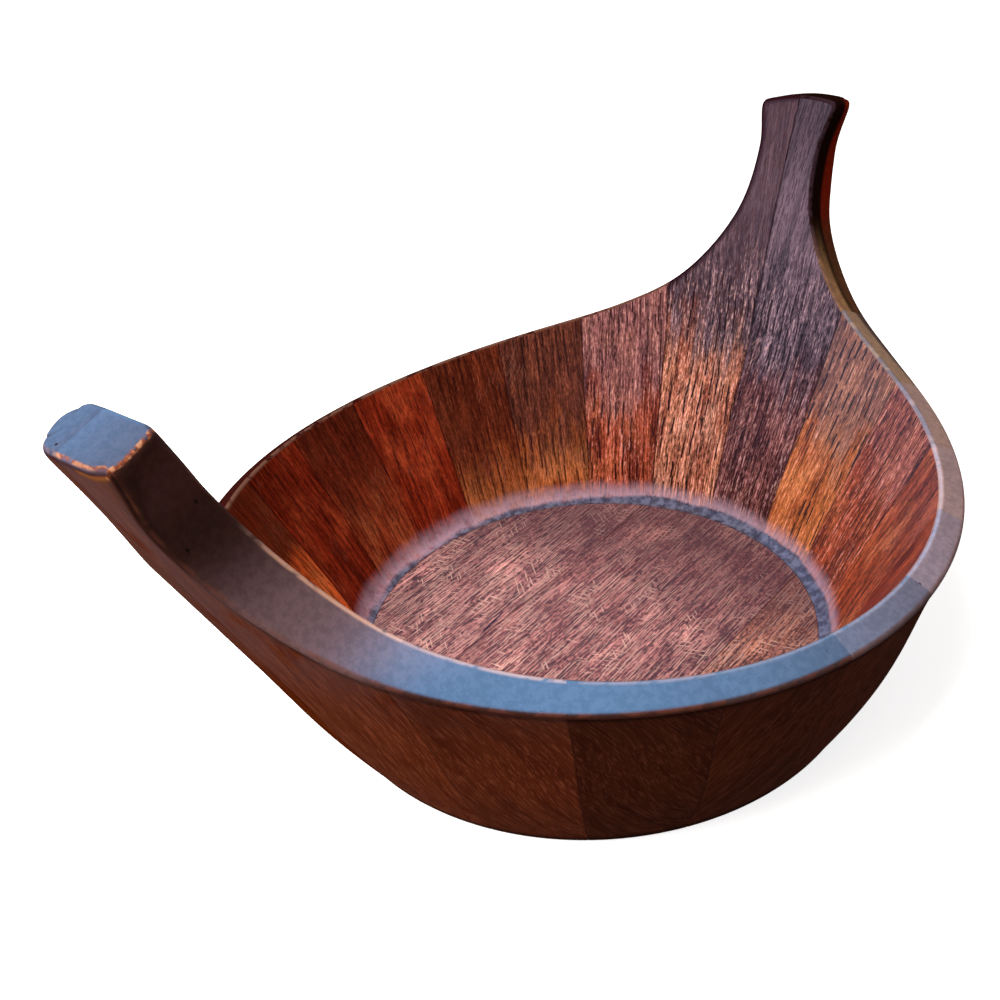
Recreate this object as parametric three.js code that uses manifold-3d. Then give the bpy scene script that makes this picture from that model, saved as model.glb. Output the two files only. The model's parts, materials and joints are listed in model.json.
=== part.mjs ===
// Staved wooden bowl with two upswept handles.
// Twenty coopered staves stand round a floor of three boards. Two staves on each side run up into a handle.
// Millimetres, +Z up, +X through the handles, origin on the table under the middle of the foot.

import * as THREE from 'three';
import { mergeVertices } from 'three/addons/utils/BufferGeometryUtils.js';
import Module from 'manifold-3d';

// Staves
const STAVES_PER_QUARTER = 5;
const GLUE_GAP = 0.3;

// Inner face of the wall: how far it stands out beyond the floor's edge at each height above the table
const FOOT_HEIGHT = 0;
const FOOT_FLARE = -1.5;
const BELLY_HEIGHT = 36;
const BELLY_FLARE = 14;
const RIM_HEIGHT = 83.4;
const RIM_FLARE = 36.8;
const NECK_HEIGHT = 142;
const NECK_FLARE = 60.6;
const TIP_HEIGHT = 188;
const TIP_FLARE = 81.6;

// Wall thickness, measured level, at its own heights. It is thick under the handles and thin at the sides.
const THIN_HEIGHT = 75;
const FLARE_HEIGHT = 100;
const SHOULDER_HEIGHT = 114.7;
const FOOT_WALL = 16.5;
const HANDLE_BELLY_WALL = 20.1;
const HANDLE_THIN_WALL = 18.5;
const SHOULDER_WALL = 19.2;
const NECK_WALL = 20.5;
const TIP_WALL = 19.3;
const SIDE_BELLY_WALL = 18;
const SIDE_THIN_WALL = 10.9;
const SIDE_FLARE_WALL = 12;

// Going round from a handle, half of its extra thickness is left at this angle
const FADE_ANGLE = 21.6;
const FADE_POWER = 3;

// Edge of the wall, from the top of the handle down to the low side of the rim
const TIP_HALF_WIDTH = 17.3;
const TIP_CORNER = 3.5;
const TIP_CROWN = 2.6;
const WAIST_HALF_WIDTH = 13.9;
const WAIST_HEIGHT = 166;
const NECK_HALF_WIDTH = 18.2;
const SHOULDER_HALF_WIDTH = 37.4;
const HAUNCH_ANGLE = 26.9;
const HAUNCH_HEIGHT = 100.4;
const FLANK_ANGLE = 50.6;
const FLANK_HEIGHT = 89;

// The edge falls outward by this share of the wall
const RIM_FALL = 0.4;
const TIP_FALL = 0.29;

// Rounding of the edge, which grows on the outer side towards the tip
const EDGE_ARRIS = 1.6;
const TIP_ARRIS = 3.2;

// Floor, the groove that holds it and the foot
const FLOOR_RADIUS = 93;
const FLOOR_HEIGHT = 12.5;
const FLOOR_THICKNESS = 9;
const LIP_THICKNESS = 3;
const CHIME_STEP = 1.5;
const TONGUE_LENGTH = 5;
const COVE_RISE = 4.2;
const FOOT_ARRIS = 2.2;
const FLOOR_JOINT_SHARES = [-0.613, 0.3225];

// How finely the curves are cut
const COLUMNS = 4;
const LOW_ROWS = 7;
const HIGH_ROWS = 9;
const COVE_STEPS = 3;
const OUTLINE_STEPS = 24;

// Woods, from the palest stave to the darkest
const WOODS = ['#9a5a30', '#7d4425', '#6b3a26', '#5a2f22'];
const FLOOR_WOOD = '#86584a';

const lerp = THREE.MathUtils.lerp;
const PITCH = Math.PI / 2 / STAVES_PER_QUARTER;
const range = (count) => Array.from({ length: count }, (_, i) => i);

// Smooth value against height: a natural cubic spline through the given stations
function againstHeight(heights, values) {
  const last = heights.length - 1;
  const slope = (i) => (values[i + 1] - values[i]) / (heights[i + 1] - heights[i]);
  const bend = new Array(last + 1).fill(0);
  const rest = new Array(last + 1).fill(0);
  for (let i = 1; i < last; i += 1) {
    const span = heights[i + 1] - heights[i - 1];
    const share = (heights[i] - heights[i - 1]) / span;
    const pivot = share * bend[i - 1] + 2;
    bend[i] = (share - 1) / pivot;
    rest[i] = (6 * (slope(i) - slope(i - 1)) / span - share * rest[i - 1]) / pivot;
  }
  for (let i = last - 1; i > 0; i -= 1) {
    bend[i] = bend[i] * bend[i + 1] + rest[i];
  }
  return (height) => {
    const after = heights.findIndex((station) => station > height);
    const i = THREE.MathUtils.clamp(after < 0 ? last : after, 1, last) - 1;
    const step = heights[i + 1] - heights[i];
    const a = (heights[i + 1] - height) / step;
    const b = 1 - a;
    const curved = (a ** 3 - a) * bend[i] + (b ** 3 - b) * bend[i + 1];
    return a * values[i] + b * values[i + 1] + curved * step ** 2 / 6;
  };
}

const innerRadius = againstHeight(
  [FOOT_HEIGHT, BELLY_HEIGHT, RIM_HEIGHT, NECK_HEIGHT, TIP_HEIGHT],
  [FOOT_FLARE, BELLY_FLARE, RIM_FLARE, NECK_FLARE, TIP_FLARE].map((flare) => FLOOR_RADIUS + flare),
);
const handleWall = againstHeight(
  [FOOT_HEIGHT, BELLY_HEIGHT, THIN_HEIGHT, SHOULDER_HEIGHT, NECK_HEIGHT, TIP_HEIGHT],
  [FOOT_WALL, HANDLE_BELLY_WALL, HANDLE_THIN_WALL, SHOULDER_WALL, NECK_WALL, TIP_WALL],
);
const sideWall = againstHeight(
  [FOOT_HEIGHT, BELLY_HEIGHT, THIN_HEIGHT, FLARE_HEIGHT, TIP_HEIGHT],
  [FOOT_WALL, SIDE_BELLY_WALL, SIDE_THIN_WALL, SIDE_FLARE_WALL, SIDE_FLARE_WALL],
);

// Wall thickness at a height and at an angle from the handle's middle
function wall(height, angle) {
  const fade = THREE.MathUtils.radToDeg(angle) / FADE_ANGLE;
  return lerp(sideWall(height), handleWall(height), 1 / (1 + fade ** FADE_POWER));
}
const outerRadius = (height, angle) => innerRadius(height) + wall(height, angle);

// Goes from 0 at the neck of the handle to 1 at its tip
const towardsTip = (height) => THREE.MathUtils.smoothstep(height, NECK_HEIGHT, TIP_HEIGHT);

// How far the outer edge lies below the inner one
const edgeFall = (height, angle) => wall(height, angle) * lerp(RIM_FALL, TIP_FALL, towardsTip(height));

// Radius of the rounding on the inner or outer side of the edge
function arris(height, fromInside) {
  return fromInside ? EDGE_ARRIS : lerp(EDGE_ARRIS, TIP_ARRIS, towardsTip(height));
}

// Edge of the wall on the unrolled inner face: distance round the bowl from the handle's middle, and height
function edgeCurve() {
  const byWidth = (halfWidth, height) => {
    const radius = innerRadius(height);
    return new THREE.Vector3(radius * Math.asin(halfWidth / radius), height, 0);
  };
  const byAngle = (degrees, height) => {
    return new THREE.Vector3(innerRadius(height) * THREE.MathUtils.degToRad(degrees), height, 0);
  };
  const cornerInset = TIP_CORNER * (1 - Math.SQRT1_2);
  return [
    byWidth(-(TIP_HALF_WIDTH - TIP_CORNER), TIP_HEIGHT - TIP_CROWN),
    byWidth(0, TIP_HEIGHT),
    byWidth(TIP_HALF_WIDTH - TIP_CORNER, TIP_HEIGHT - TIP_CROWN),
    byWidth(TIP_HALF_WIDTH - cornerInset, TIP_HEIGHT - TIP_CROWN - cornerInset),
    byWidth(TIP_HALF_WIDTH, TIP_HEIGHT - TIP_CROWN - TIP_CORNER),
    byWidth(WAIST_HALF_WIDTH, WAIST_HEIGHT),
    byWidth(NECK_HALF_WIDTH, NECK_HEIGHT),
    byWidth(SHOULDER_HALF_WIDTH, SHOULDER_HEIGHT),
    byAngle(HAUNCH_ANGLE, HAUNCH_HEIGHT),
    byAngle(FLANK_ANGLE, FLANK_HEIGHT),
    byAngle(90, RIM_HEIGHT),
    byAngle(180 - FLANK_ANGLE, FLANK_HEIGHT),
  ];
}

const EDGE_POINTS = edgeCurve();
const EDGE_SAMPLES = new THREE.CatmullRomCurve3(EDGE_POINTS, false, 'centripetal')
  .getPoints(OUTLINE_STEPS * (EDGE_POINTS.length - 1))
  .slice(OUTLINE_STEPS);
const CORNER_SAMPLE = 2 * OUTLINE_STEPS;
const NECK_SAMPLE = 5 * OUTLINE_STEPS;

// Straight-line reading of one sampled column against another that rises or falls steadily
function readOff(samples, from, to, value) {
  const rising = from(samples[samples.length - 1]) > from(samples[0]);
  const after = samples.findIndex((sample) => (from(sample) > value) === rising);
  const index = THREE.MathUtils.clamp(after < 0 ? samples.length : after, 1, samples.length - 1);
  const [a, b] = [samples[index - 1], samples[index]];
  const share = (value - from(a)) / (from(b) - from(a));
  return lerp(to(a), to(b), share);
}

// The edge moved back into the wall by a ring's inset, as three readings
function edgeLine(ring) {
  const samples = EDGE_SAMPLES.map((point, i) => {
    const inset = ring.inset * arris(point.y, ring.fromInside);
    const before = EDGE_SAMPLES[Math.max(i - 1, 0)];
    const after = EDGE_SAMPLES[Math.min(i + 1, EDGE_SAMPLES.length - 1)];
    const along = after.clone().sub(before).normalize();
    const height = point.y - along.x * inset;
    const distance = i === 0 ? 0 : point.x + along.y * inset;
    return { angle: distance / innerRadius(height), height };
  });
  const angleOf = (sample) => sample.angle;
  const heightOf = (sample) => sample.height;
  const top = samples.slice(0, CORNER_SAMPLE + 1);
  const side = samples.slice(CORNER_SAMPLE);
  const rim = samples.slice(NECK_SAMPLE);
  return {
    corner: samples[CORNER_SAMPLE],
    topHeight: (angle) => readOff(top, angleOf, heightOf, angle),
    sideAngle: (height) => readOff(side, heightOf, angleOf, height),
    rimHeight: (angle) => readOff(rim, angleOf, heightOf, angle),
  };
}

// Rings round the rounded edge, from the inner face over the edge to the outer face, as shares of its radius
const SOFT = 1 - Math.SQRT1_2;
const RINGS = [
  { inset: 1, depth: 0, fromInside: true },
  { inset: SOFT, depth: SOFT, fromInside: true },
  { inset: 0, depth: 1, fromInside: true },
  { inset: 0, depth: 1, fromInside: false },
  { inset: SOFT, depth: SOFT, fromInside: false },
  { inset: 1, depth: 0, fromInside: false },
].map((ring) => ({ ...ring, line: edgeLine(ring) }));
const INNER_RING = RINGS[0];
const OUTER_RING = RINGS[RINGS.length - 1];

// A point in the wall. The stave's joint faces stand back from the joint by half the glue gap.
function wallPoint(stave, u, angle, radius, height, freeSide = false) {
  const low = (1 - u) * GLUE_GAP / 2;
  const high = freeSide ? 0 : u * GLUE_GAP / 2;
  return new THREE.Vector3(
    radius * Math.cos(angle) - low * Math.sin(stave.from) + high * Math.sin(stave.to),
    radius * Math.sin(angle) + low * Math.cos(stave.from) - high * Math.cos(stave.to),
    height,
  );
}

// The point of a ring that lies on the line through the wall at an angle and height
function ringPoint(stave, u, ring, angle, height, freeSide) {
  const outerHeight = height - edgeFall(height, angle);
  const inner = innerRadius(height);
  const outer = outerRadius(outerHeight, angle);
  const depth = ring.depth * arris(height, ring.fromInside);
  const step = depth / Math.hypot(outer - inner, height - outerHeight);
  const share = ring.fromInside ? step : 1 - step;
  return wallPoint(stave, u, angle, lerp(inner, outer, share), lerp(height, outerHeight, share), freeSide);
}

// Foot, floor groove, lip and cove: the part of the inner face that is the same in every section
function grooveProfile() {
  const grooveBottom = FLOOR_HEIGHT - FLOOR_THICKNESS - GLUE_GAP;
  const grooveTop = FLOOR_HEIGHT - LIP_THICKNESS;
  const grooveRadius = FLOOR_RADIUS + TONGUE_LENGTH + GLUE_GAP;
  const coveTop = FLOOR_HEIGHT + COVE_RISE;
  const chimeRadius = FLOOR_RADIUS + CHIME_STEP;
  const cove = new THREE.QuadraticBezierCurve(
    new THREE.Vector2(FLOOR_RADIUS, FLOOR_HEIGHT),
    new THREE.Vector2(innerRadius(FLOOR_HEIGHT), FLOOR_HEIGHT),
    new THREE.Vector2(innerRadius(coveTop), coveTop),
  );
  return [
    new THREE.Vector2(chimeRadius, FOOT_HEIGHT),
    new THREE.Vector2(chimeRadius, grooveBottom),
    new THREE.Vector2(grooveRadius, grooveBottom),
    new THREE.Vector2(grooveRadius, grooveTop),
    new THREE.Vector2(FLOOR_RADIUS, grooveTop),
    ...cove.getPoints(COVE_STEPS).slice(0, -1),
  ];
}

// Lines up a stave: angle and height of each row, ending on a ring
function climbWallStave(stave, u, ring, start) {
  const angle = lerp(stave.from, stave.to, u);
  const top = ring.line.rimHeight(angle);
  return range(LOW_ROWS + 1).map((row) => {
    const share = row / LOW_ROWS;
    return { angle, height: lerp(start, top, share), edgeShare: share, freeSide: false };
  });
}

function climbHandleStave(stave, u, ring, start) {
  const { line } = ring;
  const joint = line.rimHeight(stave.to);
  const lower = range(LOW_ROWS + 1).map((row) => {
    const share = row / LOW_ROWS;
    return {
      angle: lerp(stave.from, stave.to, u),
      height: lerp(start, joint, share),
      edgeShare: share,
      freeSide: false,
    };
  });
  const top = line.topHeight(u * line.corner.angle);
  const upper = range(HIGH_ROWS).map((row) => {
    const share = (row + 1) / HIGH_ROWS;
    const sideHeight = lerp(joint, line.corner.height, share);
    const side = row + 1 === HIGH_ROWS ? line.corner.angle : line.sideAngle(sideHeight);
    return { angle: u * side, height: lerp(joint, top, share), edgeShare: 1, freeSide: true };
  });
  return [...lower, ...upper];
}

// Section of a stave at u: inner face upwards, edge outwards, outer face downwards
function staveSection(stave, u) {
  const climb = stave.isHandle ? climbHandleStave : climbWallStave;
  const footAngle = lerp(stave.from, stave.to, u);
  const groove = grooveProfile().map((point) => wallPoint(stave, u, footAngle, point.x, point.y));
  const inner = climb(stave, u, INNER_RING, FLOOR_HEIGHT + COVE_RISE).map((row) => {
    return wallPoint(stave, u, row.angle, innerRadius(row.height), row.height, row.freeSide);
  });
  const edge = RINGS.slice(1, -1).map((ring) => {
    const row = climb(stave, u, ring, FOOT_HEIGHT).at(-1);
    return ringPoint(stave, u, ring, row.angle, row.height, row.freeSide);
  });
  const outer = climb(stave, u, OUTER_RING, FOOT_ARRIS).map((row) => {
    const height = row.height - row.edgeShare * edgeFall(row.height, row.angle);
    return wallPoint(stave, u, row.angle, outerRadius(height, row.angle), height, row.freeSide);
  });
  const footRadius = outerRadius(FOOT_ARRIS, footAngle) - FOOT_ARRIS;
  const foot = wallPoint(stave, u, footAngle, footRadius, FOOT_HEIGHT);
  return { inner: [...groove, ...inner], edge, outer: [...outer.reverse(), foot] };
}

// Triangles between two rows of points
function strip(first, second) {
  return range(first.length - 1).flatMap((i) => [
    [first[i], first[i + 1], second[i + 1]],
    [first[i], second[i + 1], second[i]],
  ]);
}

// Triangles that fill a flat joint face, whose outline runs clockwise as the section does
function jointFace(outline, isFirst) {
  const flat = outline.map((point) => new THREE.Vector2(Math.hypot(point.x, point.y), point.z));
  const order = range(outline.length).reverse();
  const faces = THREE.ShapeUtils.triangulateShape(order.map((i) => flat[i]), []);
  return faces.map((face) => {
    const corners = face.map((i) => outline[order[i]]);
    return isFirst ? corners : corners.reverse();
  });
}

function solidFrom(triangles) {
  const positions = triangles.flat().flatMap((point) => point.toArray());
  const geometry = new THREE.BufferGeometry();
  geometry.setAttribute('position', new THREE.Float32BufferAttribute(positions, 3));
  return mergeVertices(geometry, 1e-4);
}

// One stave of the first quarter, lofted from section to section
function staveGeometry(stave) {
  const sections = range(COLUMNS + 1).map((column) => staveSection(stave, column / COLUMNS));
  const loops = sections.map(({ inner, edge, outer }) => [...inner, ...edge, ...outer]);
  const closed = loops.map((loop) => [...loop, loop[0]]);
  const triangles = range(COLUMNS).flatMap((i) => strip(closed[i], closed[i + 1]));
  triangles.push(...jointFace(loops[0], true));
  triangles.push(...(stave.isHandle ? handleSide(stave, sections.at(-1)) : jointFace(loops.at(-1), false)));
  return solidFrom(triangles);
}

// Far side of a handle stave: a joint face as high as its neighbour, then the free edge of the handle
function handleSide(stave, section) {
  const jointRows = section.inner.length - HIGH_ROWS;
  const innerRows = section.inner.slice(jointRows - 1);
  const outerRows = section.outer.slice(0, HIGH_ROWS + 1).reverse();
  const ringRows = RINGS.slice(1, -1).map((ring) => {
    return climbHandleStave(stave, 1, ring, FOOT_HEIGHT).slice(LOW_ROWS).map((row) => {
      return ringPoint(stave, 1, ring, row.angle, row.height, row.freeSide);
    });
  });
  const acrossEdge = [innerRows, ...ringRows, outerRows];
  const rows = range(HIGH_ROWS + 1).map((row) => acrossEdge.map((line) => line[row]));
  const edgeFaces = range(HIGH_ROWS).flatMap((row) => strip(rows[row], rows[row + 1]).map((face) => face.reverse()));
  const outline = [
    ...section.inner.slice(0, jointRows - 1),
    ...rows[0],
    ...section.outer.slice(HIGH_ROWS + 1),
  ];
  return [...jointFace(outline, false), ...edgeFaces];
}

// Copy of a stave in another quarter of the bowl
function mirrored(geometry, alongX, alongY) {
  const copy = geometry.clone().scale(alongX, alongY, 1);
  if (alongX * alongY < 0) {
    const index = copy.getIndex();
    range(index.count / 3).forEach((face) => {
      const second = index.getX(3 * face + 1);
      index.setX(3 * face + 1, index.getX(3 * face + 2));
      index.setX(3 * face + 2, second);
    });
  }
  return copy;
}

// Round floor with a thinner tongue round its edge
function floorDisc() {
  const under = FLOOR_HEIGHT - FLOOR_THICKNESS;
  const tongueTop = FLOOR_HEIGHT - LIP_THICKNESS - GLUE_GAP;
  const shoulder = FLOOR_RADIUS - GLUE_GAP;
  const profile = [
    new THREE.Vector2(0, under),
    new THREE.Vector2(FLOOR_RADIUS + TONGUE_LENGTH, under),
    new THREE.Vector2(FLOOR_RADIUS + TONGUE_LENGTH, tongueTop),
    new THREE.Vector2(shoulder, tongueTop),
    new THREE.Vector2(shoulder, FLOOR_HEIGHT),
    new THREE.Vector2(0, FLOOR_HEIGHT),
  ];
  const segments = 4 * STAVES_PER_QUARTER * COLUMNS;
  return new THREE.LatheGeometry(profile, segments).rotateX(Math.PI / 2);
}

const manifold = await Module();
manifold.setup();

function toManifold(geometry) {
  const bare = geometry.clone();
  bare.deleteAttribute('normal');
  bare.deleteAttribute('uv');
  const merged = mergeVertices(bare, 1e-4);
  const vertProperties = new Float32Array(merged.getAttribute('position').array);
  const triVerts = new Uint32Array(merged.getIndex().array);
  return new manifold.Manifold(new manifold.Mesh({ numProp: 3, vertProperties, triVerts }));
}

function fromManifold(solid) {
  const mesh = solid.getMesh();
  const geometry = new THREE.BufferGeometry();
  geometry.setAttribute('position', new THREE.BufferAttribute(mesh.vertProperties, 3));
  geometry.setIndex(new THREE.BufferAttribute(mesh.triVerts, 1));
  return geometry;
}

// Floor boards, sawn from the disc along the handles' direction
function floorBoards() {
  const reach = 2 * (FLOOR_RADIUS + TONGUE_LENGTH);
  const disc = toManifold(floorDisc());
  const joints = FLOOR_JOINT_SHARES.map((share) => share * FLOOR_RADIUS);
  const bounds = [-reach, ...joints, reach];
  return range(bounds.length - 1).map((i) => {
    const low = bounds[i] + GLUE_GAP / 2;
    const high = bounds[i + 1] - GLUE_GAP / 2;
    const blank = new THREE.BoxGeometry(2 * reach, high - low, reach);
    blank.translate(0, (low + high) / 2, 0);
    return fromManifold(disc.intersect(toManifold(blank)));
  });
}

function woodMesh(name, geometry, color) {
  geometry.computeVertexNormals();
  const material = new THREE.MeshStandardMaterial({ color, roughness: 0.5, metalness: 0, flatShading: true });
  const mesh = new THREE.Mesh(geometry, material);
  mesh.name = name;
  return mesh;
}

const bowl = new THREE.Group();

// Staves are numbered round the bowl from the +X handle, so each quarter counts its own way
const QUARTERS = [
  { alongX: 1, alongY: 1, number: (i) => i },
  { alongX: -1, alongY: 1, number: (i) => 2 * STAVES_PER_QUARTER - 1 - i },
  { alongX: -1, alongY: -1, number: (i) => 2 * STAVES_PER_QUARTER + i },
  { alongX: 1, alongY: -1, number: (i) => 4 * STAVES_PER_QUARTER - 1 - i },
];
for (const i of range(STAVES_PER_QUARTER)) {
  const stave = { from: i * PITCH, to: (i + 1) * PITCH, isHandle: i === 0 };
  const geometry = staveGeometry(stave);
  for (const quarter of QUARTERS) {
    const number = quarter.number(i);
    const label = String(number + 1).padStart(2, '0');
    const name = stave.isHandle ? `handle_stave_${label}` : `stave_${label}`;
    const wood = WOODS[(number * 3) % WOODS.length];
    bowl.add(woodMesh(name, mirrored(geometry, quarter.alongX, quarter.alongY), wood));
  }
}
floorBoards().forEach((geometry, i) => bowl.add(woodMesh(`floor_board_${i + 1}`, geometry, FLOOR_WOOD)));

export default bowl;
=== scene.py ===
# Staved teak bowl with two upswept handles, dressed for the photograph's view.
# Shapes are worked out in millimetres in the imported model's frame and turned into metres when a mesh is made.

import json

import bpy
import numpy as np
from mathutils import Matrix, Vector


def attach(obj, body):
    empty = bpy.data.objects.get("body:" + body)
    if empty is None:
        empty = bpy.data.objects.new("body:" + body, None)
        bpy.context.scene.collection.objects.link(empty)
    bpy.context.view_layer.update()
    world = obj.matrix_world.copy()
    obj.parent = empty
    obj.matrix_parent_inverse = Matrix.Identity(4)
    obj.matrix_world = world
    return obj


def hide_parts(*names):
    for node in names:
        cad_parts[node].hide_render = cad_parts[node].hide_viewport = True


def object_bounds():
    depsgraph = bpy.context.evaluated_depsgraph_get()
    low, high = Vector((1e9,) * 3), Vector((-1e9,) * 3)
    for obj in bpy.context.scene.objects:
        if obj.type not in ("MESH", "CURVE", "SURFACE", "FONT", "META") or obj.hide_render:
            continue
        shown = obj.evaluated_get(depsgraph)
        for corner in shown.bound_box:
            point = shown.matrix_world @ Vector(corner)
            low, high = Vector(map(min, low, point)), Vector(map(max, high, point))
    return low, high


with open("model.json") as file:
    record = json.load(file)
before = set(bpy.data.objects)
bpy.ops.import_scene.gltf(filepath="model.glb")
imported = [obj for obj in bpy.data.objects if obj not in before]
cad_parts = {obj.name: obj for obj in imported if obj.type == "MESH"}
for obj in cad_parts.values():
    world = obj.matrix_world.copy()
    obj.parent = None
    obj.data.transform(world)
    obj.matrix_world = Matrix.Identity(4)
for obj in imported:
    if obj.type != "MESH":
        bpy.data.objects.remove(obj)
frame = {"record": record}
cad_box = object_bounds()

MM = 0.001
MM_IN_CM = 10
BOX = np.array([list(corner) for corner in cad_box]) / MM
PITCH = np.pi / 10
JOINT_GAP = 0.004
FAR_AWAY = 99.0

# Heights above the table, as in the solid model
BELLY_HEIGHT = 36
THIN_HEIGHT = 75
RIM_HEIGHT = 83.4
FLANK_HEIGHT = 89
FLARE_HEIGHT = 100
HAUNCH_HEIGHT = 100.4
SHOULDER_HEIGHT = 114.7
NECK_HEIGHT = 142
TIP_HEIGHT = 188

# Radius of the inner face at its heights, then the wall's thickness under the handles and at the sides
INNER_RADII = {0: 91.5, BELLY_HEIGHT: 107, RIM_HEIGHT: 129.8, NECK_HEIGHT: 153.6, TIP_HEIGHT: 174.6}
HANDLE_WALLS = {
    0: 16.5, BELLY_HEIGHT: 20.1, THIN_HEIGHT: 18.5,
    SHOULDER_HEIGHT: 19.2, NECK_HEIGHT: 20.5, TIP_HEIGHT: 19.3,
}
SIDE_WALLS = {0: 16.5, BELLY_HEIGHT: 18, THIN_HEIGHT: 10.9, FLARE_HEIGHT: 12, TIP_HEIGHT: 12}
FADE_ANGLE = np.radians(21.6)
FADE_POWER = 3

# Swept edge: half widths of the handle, angles from its middle in degrees, fall across the wall and rounding
PEAK_DROP = 0.45
NECK_HALF_WIDTH = 18.2
SHOULDER_HALF_WIDTH = 37.4
HAUNCH_ANGLE = 26.9
FLANK_ANGLE = 50.6
RIM_FALL = 0.4
INNER_ARRIS = 1.4
OUTER_ARRIS = 1.6
TIP_ARRIS = 2.2

# Floor, groove and foot
FLOOR_RADIUS = 93
FLOOR_HEIGHT = 12.5
FLOOR_UNDER = 3.5
FLOOR_JOINTS = [-57, 30]
FLOOR_CLEARANCE = 0.05
FLOOR_EASE = 0.3
FLOOR_RIM_EASE = 0.35
TONGUE_RADIUS = 98
TONGUE_TOP = 9.2
GROOVE_RADIUS = 98.3
GROOVE_BOTTOM = 3.2
GROOVE_TOP = 9.5
CHIME_RADIUS = 94.5
COVE_RISE = 4.6
FOOT_ARRIS = 2.2

# Outline of each half handle: crown, corner and half width at the tip, the waist, and how far the end face
# falls. The wall is thinner by "thin" at the tip, and the long corners are worn round to the radii inside and
# outside, growing between two heights.
RIGHT = dict(crown=1.5, corner=2.6, tip=17.3, waist=14.4, waist_height=168, fall=0.12, thin=1.4)
LEFT = dict(corner=2.0, waist=13.5, waist_height=162, fall=0.29, thin=0.7)
HANDLES = {
    1: dict(RIGHT, inner=0, outer=3, low=150, high=184),
    10: dict(LEFT, crown=2.0, tip=16.4, inner=8.5, outer=12.5, low=125, high=180),
    11: dict(LEFT, crown=1.4, tip=18.0, inner=3.6, outer=7.5, low=162, high=187),
    20: dict(RIGHT, inner=0, outer=6.5, low=140, high=184),
}

# Fineness of the meshes: samples of the edge line, where its corner and neck lie, rings and steps
OUTLINE_STEPS = 60
CORNER_SAMPLE = 2 * OUTLINE_STEPS
NECK_SAMPLE = 5 * OUTLINE_STEPS
ROUND_STEPS = 6
ACROSS_EDGE = (0.06, 0.13, 0.21, 0.3, 0.4, 0.5, 0.6, 0.7, 0.79, 0.87, 0.94)
COVE_STEPS = 8
BOARD_STEPS = 60
SHARP_ANGLE = np.radians(38)

# Eased edges of the joint faces, the height below which the foot stays flat, and the end of a handle's joint
INNER_EASE = 0.2
OUTER_EASE = 0.1
FLAT_FOOT = 0.5
JOINT_END = 2


def against_height(stations):
    """Natural cubic spline through the stations."""
    x = np.array(list(stations), float)
    y = np.array(list(stations.values()), float)
    step = np.diff(x)
    n = len(x)
    system = np.eye(n)
    rest = np.zeros(n)
    for i in range(1, n - 1):
        system[i, i - 1:i + 2] = step[i - 1], 2 * (step[i - 1] + step[i]), step[i]
        rest[i] = 6 * ((y[i + 1] - y[i]) / step[i] - (y[i] - y[i - 1]) / step[i - 1])
    bend = np.linalg.solve(system, rest)

    def value(height):
        i = np.clip(np.searchsorted(x, height, side="right") - 1, 0, n - 2)
        a = (x[i + 1] - height) / step[i]
        b = 1 - a
        curved = ((a**3 - a) * bend[i] + (b**3 - b) * bend[i + 1]) * step[i]**2 / 6
        return a * y[i] + b * y[i + 1] + curved

    return value


inner_radius = against_height(INNER_RADII)
handle_wall = against_height(HANDLE_WALLS)
side_wall = against_height(SIDE_WALLS)


def wall(height, angle):
    share = 1 / (1 + (angle / FADE_ANGLE)**FADE_POWER)
    return side_wall(height) * (1 - share) + handle_wall(height) * share


def outer_radius(height, angle):
    return inner_radius(height) + wall(height, angle)


def smoothstep(value, low, high):
    share = np.clip((value - low) / (high - low), 0, 1)
    return share * share * (3 - 2 * share)


def towards_tip(height):
    """Goes from 0 at the neck of the handle to 1 at its tip."""
    return smoothstep(height, NECK_HEIGHT, TIP_HEIGHT)


def edge_fall(height, angle, tip_fall):
    return wall(height, angle) * (RIM_FALL + (tip_fall - RIM_FALL) * towards_tip(height))


def arris(height, from_inside):
    if from_inside:
        return INNER_ARRIS
    return OUTER_ARRIS + (TIP_ARRIS - OUTER_ARRIS) * towards_tip(height)


def catmull_rom(points, steps):
    """Centripetal Catmull-Rom curve, sampled evenly in each span."""
    points = np.array(points, float)
    points = np.vstack([2 * points[0] - points[1], points, 2 * points[-1] - points[-2]])
    out = []
    for i in range(1, len(points) - 2):
        p0, p1, p2, p3 = points[i - 1:i + 3]
        d0, d1, d2 = (np.sqrt(np.linalg.norm(b - a)) for a, b in ((p0, p1), (p1, p2), (p2, p3)))
        t1 = ((p1 - p0) / d0 - (p2 - p0) / (d0 + d1) + (p2 - p1) / d1) * d1
        t2 = ((p2 - p1) / d1 - (p3 - p1) / (d1 + d2) + (p3 - p2) / d2) * d1
        t = (np.arange(steps) / steps)[:, None]
        cubic = (2 * p1 - 2 * p2 + t1 + t2) * t**3 + (-3 * p1 + 3 * p2 - 2 * t1 - t2) * t**2
        out.append(cubic + t1 * t + p1)
    return np.vstack([*out, points[-2:-1]])


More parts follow.
